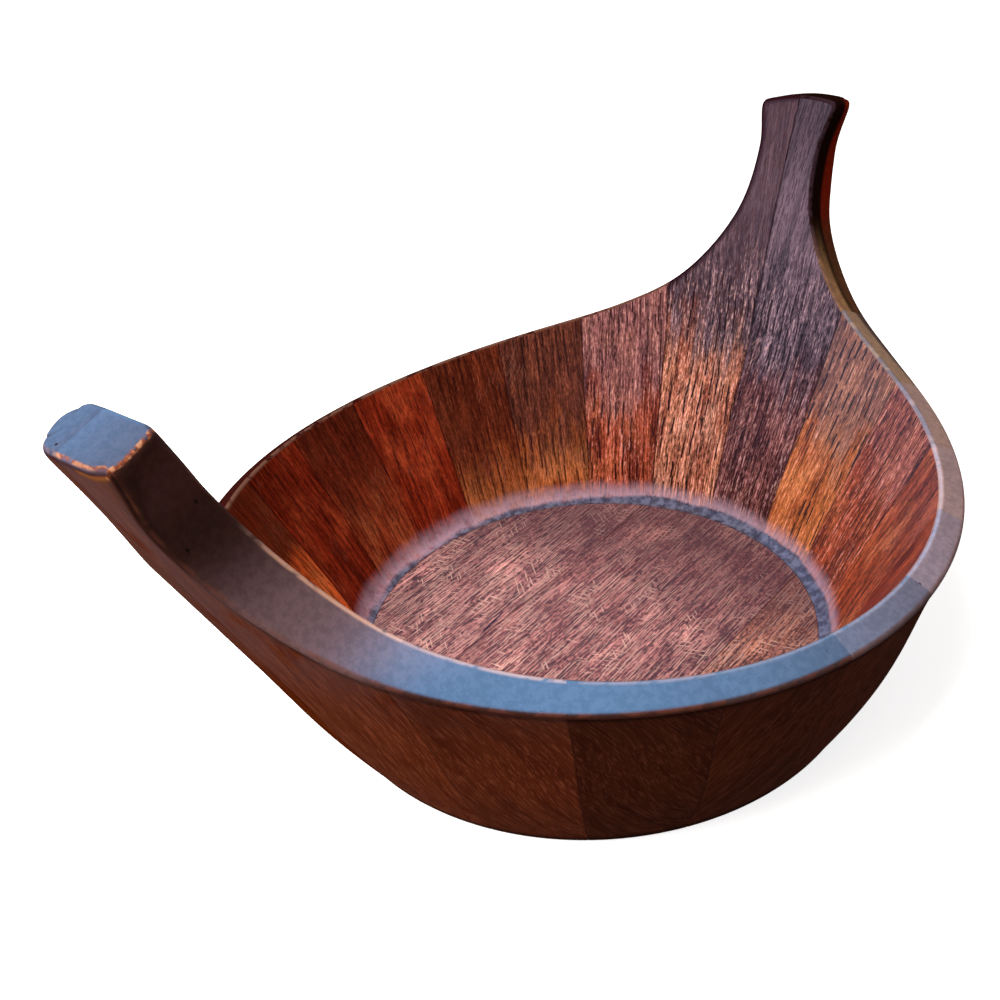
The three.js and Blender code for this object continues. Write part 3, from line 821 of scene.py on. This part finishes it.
class Teak(Nodes):
    """Old oiled teak. The lay is in centimetres, and all other distances are in millimetres."""

    def __init__(self, tree, look, seed):
        super().__init__(tree)
        self.look = look
        self.seed = seed
        self.is_floor = seed >= FIRST_BOARD
        own = self.attribute("lay")
        self.across, through, self.along = self.split(own)
        self.flat = self.plus(self.across, through)
        if look["slant"]:
            self.flat = self.plus(self.flat, self.times(self.along, look["slant"]))
            own = self.join(self.flat, through, self.along)
        self.near_in, self.near_out, self.seam = self.split(self.attribute("near"))
        self.inner, self.edge, self.outer = self.split(self.attribute("skin"))
        self.rise = self.attribute("rise", "Fac")
        self.lay = self.place(own, (seed * 7.13, seed * 3.71, seed * 11.9))
        self.whole = self.node("ShaderNodeTexCoord").outputs["Object"]
        self.grain = self.noise(self.lay, GRAIN, 4.0, 0.6, 0.6)
        self.fibre = self.noise(self.lay, FIBRE, rough=0.6)
        self.grit = self.noise(self.lay, FLOOR_GRIT if self.is_floor else WALL_GRIT, rough=0.65)
        self.broad = self.noise(self.lay, BROAD, 3.0, 0.6)
        self.calm = 1.0 if self.is_floor else self.height(100.0, 145.0, 1.0, 0.25)

    def height(self, *ends):
        """Fade between two heights above the table."""
        return self.span(self.rise, *ends)

    def paint(self):
        colour = self.film(self.wood())
        colour = self.scratches(self.pores(self.light_and_shade(colour)))
        coat = 0.0
        if self.is_floor:
            colour = self.crack(self.floor_marks(colour))
        else:
            colour = self.end_grain(self.outer_face(self.cove(colour)))
            colour = self.joint_dirt(self.arrises(self.pits(colour)))
            coat = self.gloss()
        self.surface(colour, coat)

    def wood(self):
        dark, middle, light = self.look["tones"]
        colour = self.mix(self.span(self.grain, 0.36, 0.6), dark, middle)
        return self.cover(colour, light, self.span(self.broad, 0.45, 0.7), 0.8)

    def film(self, colour):
        """Film of wear, partly painted sheen, with a ragged step at a height of the stave's own, and dimmer at
        a handle's tip.
        """
        look = self.look
        if not (look["low"] or look["high"]):
            return colour
        ragged = self.times(self.plus(self.broad, self.grain), 7.0)
        level = self.minus(self.plus(self.along, ragged), 7.0)
        cover = self.span(level, look["start"] - 1.6, look["start"] + 1.6, look["low"], look["high"])
        shaded = tuple(value * 0.55 for value in look["film"])
        filmed = self.mix(self.span(self.grain, 0.35, 0.65), shaded, look["film"])
        if look["dim"] < 1:
            filmed = self.scaled(filmed, self.height(150.0, 178.0, 1.0, look["dim"]))
        return self.mix(cover, colour, filmed)

    def light_and_shade(self, colour):
        """Fine relief, drawn as light and shade: fibres, grit and streaks."""
        streak = self.noise(self.lay, STREAK, rough=0.55, shift=(3, 9, 4))
        parts = []
        for pattern, half, size in ((self.fibre, 0.17, 0.5), (self.grit, 0.17, 0.55), (streak, 0.14, 0.28)):
            size *= self.look["grit"]
            parts.append(self.span(pattern, 0.5 - half, 0.5 + half, -size, size))
        shade = self.most(self.plus(self.times(self.plus(*parts), self.calm), 1.0), 0.12)
        return self.cover(self.scaled(colour, shade), self.look["glow"], self.span(shade, 1.25, 2.1), 0.5)

    def pores(self, colour):
        """Open pores: long dark strokes in rows, and a dense field of fine ones."""
        look = self.look
        rows = self.dashes(self.flat, self.along, self.seed, **FLOOR_PORES if self.is_floor else WALL_PORES)
        patchy = self.span(self.noise(self.lay, PORE_PATCH, 1.0), 0.36, 0.5)
        self.rows = self.times(rows, patchy, self.minus(1.0, self.edge), self.calm)
        self.small = self.dashes(self.flat, self.along, self.seed + 5, **FINE_PORES)
        shadow = tuple(value * 0.2 for value in look["tones"][0])
        colour = self.cover(colour, BLACK, self.rows, look["bold"])
        return self.cover(colour, shadow, self.small, look["fine"])

    def scratches(self, colour):
        """Pale scratches, common near the grain's direction and in patches in the others."""
        self.strokes = 0.0
        for turn, gap, length in FLOOR_SCRATCHES if self.is_floor else WALL_SCRATCHES:
            a, b = self.turned(self.flat, self.along, turn)
            layer = self.dashes(a, b, self.seed + turn, gap, length, **SCRATCH)
            area = self.noise(self.lay, SCRATCH_PATCH, shift=(turn, 0, 0))
            keep = (0.4, 0.55) if abs(turn) < NEAR_GRAIN else (0.58, 0.64)
            self.strokes = self.most(self.strokes, self.times(layer, self.calm, self.span(area, *keep)))
        return self.cover(colour, STROKE, self.strokes, self.look["scratch"])

    def floor_marks(self, colour):
        """Long dark grain lines, painted shade as gloom towards the far handle and as a soft dark rim, and fine
        joints.
        """
        lines = self.dashes(self.flat, self.along, self.seed + 9, **GRAIN_LINES)
        deep = self.span(self.noise(self.lay, LINE_PATCH), 0.42, 0.56)
        gloom = self.span(self.plus(self.along, self.times(self.broad, 5.0)), 3.5, 8.5)
        rim = self.span(self.plus(self.near_in, self.times(self.broad, 8.0)), 9.0, 4.0)
        colour = self.cover(colour, FLOOR_LINE, self.times(lines, deep), 0.85)
        colour = self.cover(colour, FLOOR_GLOOM, gloom, 0.5)
        colour = self.cover(colour, FLOOR_RIM, rim, 0.7)
        return self.cover(colour, FLOOR_JOINT, self.span(self.seam, 0.5, 0.1), 0.5)

    def crack(self, colour):
        """A short open crack with ragged sides."""
        aside, ahead = self.minus(self.across, CRACK_ACROSS), self.minus(self.along, CRACK_ALONG)
        a, b = (self.math("ABSOLUTE", value, 0.0) for value in self.turned(aside, ahead, CRACK_TURN))
        ragged = self.plus(a, self.times(self.grit, 0.06))
        return self.cover(colour, CRACK_TONE, self.span(ragged, *CRACK_WIDTH), self.span(b, *CRACK_LENGTH))

    def cove(self, colour):
        """Painted sheen over the cove, a lavender reflection of the sky, and a dark line where it meets the
        floor, tinted blue-grey as painted reflection.
        """
        waves = self.times(self.noise(self.whole, WAVES), 4.0)
        wavy = self.plus(self.rise, self.minus(self.plus(self.grit, waves), 2.5))
        patches = self.noise(self.whole, COVE_SHEEN_PATCH, 4.0, 0.7)
        self.cove_sheen = self.times(self.span(wavy, 22.5, 15.5), self.inner)
        colour = self.cover(colour, COVE_SHEEN, self.cove_sheen, self.span(patches, 0.3, 0.6, 0.42, 0.75))
        above = self.minus(wavy, self.attribute("line", "Fac"))
        line = self.times(self.span(above, 0.6, -0.9), self.inner)
        return self.cover(colour, self.mix(self.span(patches, 0.4, 0.62), *STEEL), line, 0.92)

    def outer_face(self, colour):
        """Outer face: darker, partly as painted shade, with painted shade in dark bands under the rim and along
        the foot.
        """
        look = self.look
        skin = self.mix(self.span(self.grain, 0.34, 0.66), *SKIN)
        skin = self.cover(skin, SKIN_FIBRE, self.span(self.fibre, 0.5, 0.68), 0.5)
        band = self.most(self.span(self.near_out, 4.5, 1.5), self.height(6.0, 1.5))
        skin = self.scaled(self.cover(skin, SKIN_BAND, band, 0.75), look["skin"])
        if look["painted_sheen"]:
            painted_sheen = self.times(self.height(70.0, 130.0), self.span(self.broad, 0.3, 0.5))
            skin = self.cover(skin, SKIN_SHEEN, painted_sheen, look["painted_sheen"])
        return self.mix(self.outer, colour, skin)

    def end_grain(self, colour):
        """The edge's mottled tone, which changes up the handles and across the far one. Its near black on the
        right handle is painted shade, its pale mauve-grey on the near right is partly painted sheen, and its
        belt on the near handle is painted sheen.
        """
        look = self.look
        tone = look["edge"]
        if look["edge_out"]:
            outside = self.mix(self.height(150.0, 122.0), look["edge_out"], look["out_low"])
            tone = self.cover(tone, outside, self.span(self.near_in, 7.0, 10.0), self.height(185.0, 183.0))
        if look["edge_low"]:
            inside = self.span(self.near_in, 4.0, 7.0, 1.0, 0.15)
            tone = self.cover(tone, look["edge_low"], self.height(142.0, 112.0), inside)
        if look["sheen_belt"]:
            tone = self.cover(tone, look["sheen_belt"], self.height(152.0, 124.0), self.height(98.0, 112.0))
        self.mottle = self.span(self.noise(self.whole, MOTTLE, 4.0, 0.7, shift=(2, 0, 0)), 0.35, 0.65)
        return self.mix(self.edge, colour, self.scaled(tone, self.span(self.mottle, 0.0, 1.0, 0.86, 1.14)))

    def pits(self, colour):
        """Pits and nicks, in a few of the cells that the surface is cut into."""
        cell = self.node("ShaderNodeTexVoronoi", {"Vector": self.place(self.lay, scale=PITS), "Scale": 1.0})
        chance = self.span(self.split(cell.outputs["Color"])[0], 0.7, 0.72)
        away = self.plus(cell.outputs["Distance"], self.times(self.grit, 0.14))
        self.pitted = self.times(self.span(away, 0.17, 0.11), chance, self.minus(1.0, self.outer))
        return self.cover(colour, BLACK, self.pitted, 0.85)

    def arrises(self, colour):
        """Lines along both arrises: rubbed wood, and on the inner arris of the right handle and the staves
        beside it, dark painted shade. A narrow line is broken, and none reaches a worn tip.
        """
        look = self.look
        patch = self.noise(self.lay, WEAR_AND_SHADE_PATCH, 3.0, 0.6, shift=(3, 5, 7))
        rubbed = self.span(self.near_in, look["rub_wide"], look["rub_wide"] / 3)
        if look["rub_wide"] < 2:
            rubbed = self.times(rubbed, self.span(patch, 0.36, 0.5))
        if look["worn_tip"]:
            rubbed = self.times(rubbed, self.height(152.0, 136.0))
            colour = self.tip(colour, patch)
        rubbed_out = self.times(self.span(self.near_out, 1.0, 0.3), self.span(patch, 0.46, 0.58))
        colour = self.cover(colour, look["rub_tone"], rubbed, look["rub"])
        return self.cover(colour, look["rub_out"], rubbed_out, 0.4)

    def tip(self, colour, patch):
        """A flaked border round the handle's end face, and bare wood below its outer corner."""
        worn = self.look["worn_tip"]
        corner = self.attribute("corner", "Fac")
        flakes = self.noise(self.lay, FLAKES)
        outer_line = self.times(self.span(self.near_out, 0.9, 0.3), self.height(180.4, 181.4))
        border = self.most(outer_line, self.span(corner, 0.9, 0.35))
        border = self.times(border, self.span(flakes, 0.32, 0.5, 0.0, worn))
        bare = self.times(self.span(corner, 12.0, 9.0), self.span(self.near_out, 4.0, 3.2), self.outer)
        bare = self.times(bare, self.height(177.0, 179.0), self.span(patch, 0.36, 0.42, 0.0, 0.9 * worn))
        self.worn = self.most(border, bare)
        colour = self.mix(bare, colour, BARE_WOOD)
        return self.mix(border, colour, self.mix(self.span(flakes, 0.45, 0.6), *FLAKED))

    def joint_dirt(self, colour):
        """A dark line along each joint, faint on the edge, on the outer face and in the cove's painted sheen.
        """
        uneven = self.span(self.noise(self.lay, JOINT_PATCH), 0.35, 0.6, 0.35, 1.0)
        dirt = self.times(self.span(self.seam, self.look["seam"], 0.12), uneven, 0.95)
        faint = self.most(self.times(self.edge, 0.93), self.times(self.outer, 0.55))
        faint = self.most(faint, self.times(self.cove_sheen, 0.8))
        return self.cover(colour, BLACK, dirt, self.minus(1.0, faint))

    def gloss(self):
        """Weight of the coat: a gloss on the edge, duller towards the tip, in pits and on worn wood."""
        look = self.look
        glossy = self.times(self.edge, self.span(self.mottle, 0.0, 1.0, 0.85, 1.0), look["coat"])
        glossy = self.times(glossy, self.height(160.0, 180.0, 1.0, 0.42), self.minus(1.0, self.pitted))
        if look["coat_low"] < 1:
            glossy = self.times(glossy, self.height(125.0, 160.0, look["coat_low"], 1.0))
        if look["worn_tip"]:
            glossy = self.times(glossy, self.minus(1.0, self.worn))
        return self.plus(glossy, self.times(self.inner, 0.04))

    def surface(self, colour, coat):
        look = self.look
        grit = look["grit"]
        relief = self.times(self.grit, self.minus(0.8 * grit, self.times(self.edge, 0.5 * grit)))
        relief = self.minus(relief, self.times(self.rows, 0.35 * look["bold"]))
        relief = self.minus(relief, self.times(self.small, 0.12 * look["fine"]))
        relief = self.plus(relief, self.times(self.strokes, 0.12 * look["scratch"]))
        self.shade({
            "Base Color": colour,
            "Roughness": self.span(self.grit, 0.3, 0.7, 0.5, 0.68),
            "Normal": self.node("ShaderNodeBump", dict(BUMP, Height=relief)).outputs[0],
            "Specular IOR Level": look["specular"],
            "Coat Weight": coat,
            "Coat IOR": 1.9,
            "Coat Roughness": 0.3,
        })


def new_material(name):
    material = bpy.data.materials.new(name)
    material.use_nodes = True
    return material


SLOTS = {entry["node"]: entry["material_slot"] for entry in frame["record"]["subparts"]}


def dress(piece, node, number):
    slot = SLOTS[node]
    material = new_material(f"{slot}_{number}")
    Teak(material.node_tree, LOOKS[number], number).paint()
    piece.data.materials.append(material)
    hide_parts(node)
    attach(piece, "root")


def stave_attributes(stave):
    """Distances from the inner arris, the outer arris and the joints, and the kind of surface."""
    first = stave.points @ np.array([-np.sin(stave.start), np.cos(stave.start), 0])
    last = -stave.points @ np.array([-np.sin(stave.end), np.cos(stave.end), 0])
    corner = np.full(len(stave.points), FAR_AWAY)
    if stave.is_handle:
        joint_top = stave.lines[0].rim_height(stave.end) + JOINT_END
        last = np.where(stave.points[:, 2] > joint_top, FAR_AWAY, last)
        corner = nearest(stave.points, np.array([stave.edge_row(1, number) for number in range(len(RINGS))]))
    seam = np.minimum(first, last) - JOINT_GAP / 2
    near_in = nearest(stave.points, stave.edge_points(INNER_MIDDLE))
    near_out = nearest(stave.points, stave.edge_points(OUTER_MIDDLE))
    kinds = stave.point_kinds
    inside = (kinds == "inner") | (kinds == "groove")
    skin = np.column_stack([inside, kinds == "edge", kinds == "outer"]).astype(float)
    return {"near": np.column_stack([near_in, near_out, seam]), "skin": skin, "corner": corner}


def cove_line(points):
    """Top of the dark line round the floor: wider at the foot of the far handle than elsewhere."""
    azimuth = np.degrees(np.arctan2(points[:, 1], points[:, 0]))
    away = np.abs((azimuth - LINE_AZIMUTH + 180) % 360 - 180)
    return LINE_TOP + LINE_EXTRA * (1 - smoothstep(away, *LINE_REACH))


# Each quarter of the bowl: its signs in x and y, the number of its handle stave, and the way the numbers run
QUARTERS = ((1, 1, 1, 1), (-1, 1, 10, -1), (-1, -1, 11, 1), (1, -1, 20, -1))


def build_staves():
    """Five staves of a quarter, each also mirrored into the other three. The four handle staves differ."""
    for i in range(5):
        for sign_x, sign_y, handle_number, way in QUARTERS:
            number = handle_number + way * i
            if i == 0 or sign_x == sign_y == 1:
                stave = Stave(i, HANDLES[number if i == 0 else 1])
                shared = stave_attributes(stave)
                shape = round_corners(stave) if i == 0 else stave.points
            node = f"handle_stave_{number:02d}" if stave.is_handle else f"stave_{number:02d}"
            points = shape * [sign_x, sign_y, 1]
            faces = [face[::-1] for face in stave.faces] if sign_x * sign_y < 0 else stave.faces
            lay = stave_lay(points, (number - 0.5) * PITCH)
            attributes = dict(shared, lay=lay, rise=points[:, 2], line=cove_line(points))
            piece = to_mesh(f"teak_{node}", points, faces, attributes)
            dress(piece, node, number)


def board_loop(radius, low, high, height):
    """Outline of a board between two lines in y, on a disc of the given radius."""
    low = max(low, -radius)
    high = min(high, radius)
    t = np.linspace(0, np.pi, BOARD_STEPS)
    y = low + (high - low) * (1 - np.cos(t)) / 2
    x = np.sqrt(np.maximum(radius**2 - y**2, 0))
    loop = np.vstack([np.column_stack([x, y]), np.column_stack([-x, y])[::-1]])
    return np.column_stack([loop, np.full(len(loop), float(height))])


def build_floor():
    """Three boards with their tongue, a body just clear of the lip above it, and an eased top edge."""
    beyond = 2 * TONGUE_RADIUS
    edges = [-beyond, *FLOOR_JOINTS, beyond]
    body = FLOOR_RADIUS - FLOOR_CLEARANCE
    levels = [
        (TONGUE_RADIUS, 0, FLOOR_UNDER),
        (TONGUE_RADIUS, 0, TONGUE_TOP),
        (body, 0, TONGUE_TOP),
        (body, 0, FLOOR_HEIGHT - FLOOR_EASE),
        (body - FLOOR_RIM_EASE, FLOOR_EASE, FLOOR_HEIGHT),
    ]
    for i in range(3):
        low = edges[i] + JOINT_GAP / 2
        high = edges[i + 1] - JOINT_GAP / 2
        loops = np.array([board_loop(radius, low + inset, high - inset, z) for radius, inset, z in levels])
        count, size = loops.shape[:2]
        index = np.arange(count * size).reshape(count, size)
        faces = [tuple(index[0][::-1]), tuple(index[-1])]
        for a in range(count - 1):
            for b in range(size):
                c = (b + 1) % size
                faces.append((index[a, b], index[a, c], index[a + 1, c], index[a + 1, b]))
        points = loops.reshape(-1, 3)
        x, y, z = points.T
        away = np.full(len(points), FAR_AWAY)
        rim = FLOOR_RADIUS - np.hypot(x, y)
        attributes = {
            "lay": np.column_stack([y, z, x]) / MM_IN_CM,
            "near": np.column_stack([rim, away, np.minimum(y - low, high - y)]),
            "skin": np.tile([1.0, 0, 0], (len(points), 1)),
            "rise": z,
        }
        piece = to_mesh(f"teak_floor_board_{i + 1}", points, faces, attributes)
        dress(piece, f"floor_board_{i + 1}", FIRST_BOARD + i)


build_staves()
build_floor()

# Camera in metres, degrees and millimetres of film, as fitted to the photograph
CAMERA_AT = (-0.2814, -0.2289, 0.2880)
AZIMUTH, ELEVATION, ROLL = np.radians([-45.956, 30.512, -6.901])
LENS = 38.555
SENSOR = 36
CLIP = (0.01, 50)

# World: a patch of blue sky round an axis, for gloss alone, an even soft fill, and white for the camera
SKY_AXIS = (-0.2, 0.45, 0.87)
SKY_SPREAD = (0.05, 0.75)
SKY_DARK = (0.01, 0.003, 0.002)
SKY_BLUE = (0.14, 0.52, 1)
SKY_STRENGTH = 5.6
FILL_TONE = (1, 0.95, 0.92, 1)
FILL_STRENGTH = 0.32
WHITE = (1, 1, 1, 1)
STUDIO_HALF = 6.0


def unit(vector):
    return vector / np.linalg.norm(vector)


def link_at(piece, right, up, back, at):
    """Link a camera or light at a point, with its own axes set."""
    turn = np.column_stack([right, up, back])
    piece.matrix_world = Matrix([[*turn[i], at[i]] for i in range(3)] + [[0, 0, 0, 1]])
    bpy.context.collection.objects.link(piece)


def place_camera():
    level = np.cos(ELEVATION)
    back = np.array([np.sin(AZIMUTH) * level, -np.cos(AZIMUTH) * level, np.sin(ELEVATION)])
    right = unit(np.cross(-back, [0, 0, 1]))
    up = np.cross(back, right)
    c, s = np.cos(ROLL), np.sin(ROLL)
    data = bpy.data.cameras.new("camera")
    data.lens = LENS
    data.sensor_width = SENSOR
    data.sensor_fit = "HORIZONTAL"
    data.clip_start, data.clip_end = CLIP
    camera = bpy.data.objects.new("camera", data)
    link_at(camera, c * right + s * up, c * up - s * right, back, CAMERA_AT)
    bpy.context.scene.camera = camera


def area_light(name, at, target, size, power, colour, spread=180):
    """A rectangular light, in metres, watts and degrees, that neither gloss nor the camera sees."""
    data = bpy.data.lights.new(name, "AREA")
    data.shape = "RECTANGLE"
    data.size, data.size_y = size
    data.energy = power
    data.color = colour
    data.spread = np.radians(spread)
    light = bpy.data.objects.new(name, data)
    light.visible_glossy = False
    light.visible_camera = False
    back = unit(np.array(at, float) - np.array(target, float))
    points_down = back[2] > 0.999
    right = np.array([1.0, 0, 0]) if points_down else unit(np.cross([0, 0, 1], back))
    link_at(light, right, np.cross(back, right), back, at)


def light_scene():
    """A warm key from the left, a low light beside it, and a narrow one for the floor of the bowl."""
    area_light("key", at=(-0.75, 0.1, 1.35), target=(0, 0, 0.06), size=(0.7, 0.7),
               power=30, colour=(1, 0.95, 0.88))
    area_light("side", at=(-1.1, 0.15, 0.18), target=(0, 0, 0.05), size=(0.4, 0.3),
               power=2.6, colour=(1, 0.85, 0.75))
    area_light("inside", at=(-0.03, 0, 0.42), target=(-0.015, 0, 0.0125), size=(0.1, 0.1),
               power=0.062, colour=(1, 0.93, 0.9), spread=34)


def make_world():
    world = bpy.data.worlds.new("world")
    world.use_nodes = True
    world.node_tree.nodes.clear()
    n = Nodes(world.node_tree)

    def background(tone, strength):
        return n.node("ShaderNodeBackground", {"Color": tone, "Strength": strength}).outputs[0]

    direction = n.node("ShaderNodeTexCoord").outputs["Generated"]
    towards = n.vector("DOT_PRODUCT", {0: direction, 1: unit(np.array(SKY_AXIS))}, "Value")
    sky = background(n.mix(n.span(towards, *SKY_SPREAD), SKY_DARK, SKY_BLUE), SKY_STRENGTH)
    fill = background(FILL_TONE, FILL_STRENGTH)
    ray = n.node("ShaderNodeLightPath").outputs
    unseen = n.node("ShaderNodeMixShader", {0: ray["Is Glossy Ray"], 1: fill, 2: sky}).outputs[0]
    seen = n.node("ShaderNodeMixShader", {0: ray["Is Camera Ray"], 1: unseen, 2: background(WHITE, 1.0)})
    n.node("ShaderNodeOutputWorld", {0: seen.outputs[0]})
    bpy.context.scene.world = world
    bpy.context.scene.view_settings.view_transform = "Standard"


def lay_floor():
    """Pale studio floor that glows a little, so that it stays as light as the world behind it."""
    mesh = bpy.data.meshes.new("studio_floor")
    corners = [(x * STUDIO_HALF, y * STUDIO_HALF, 0) for x, y in ((-1, -1), (1, -1), (1, 1), (-1, 1))]
    mesh.from_pydata(corners, [], [(0, 1, 2, 3)])
    material = new_material("pale_floor")
    Nodes(material.node_tree).shade({
        "Base Color": (0.9, 0.9, 0.9, 1),
        "Roughness": 0.9,
        "Specular IOR Level": 0,
        "Emission Color": WHITE,
        "Emission Strength": 0.75,
    })
    mesh.materials.append(material)
    floor = bpy.data.objects.new("studio_floor", mesh)
    bpy.context.collection.objects.link(floor)
    floor.visible_diffuse = False
    floor.visible_glossy = False


place_camera()
light_scene()
make_world()
lay_floor()
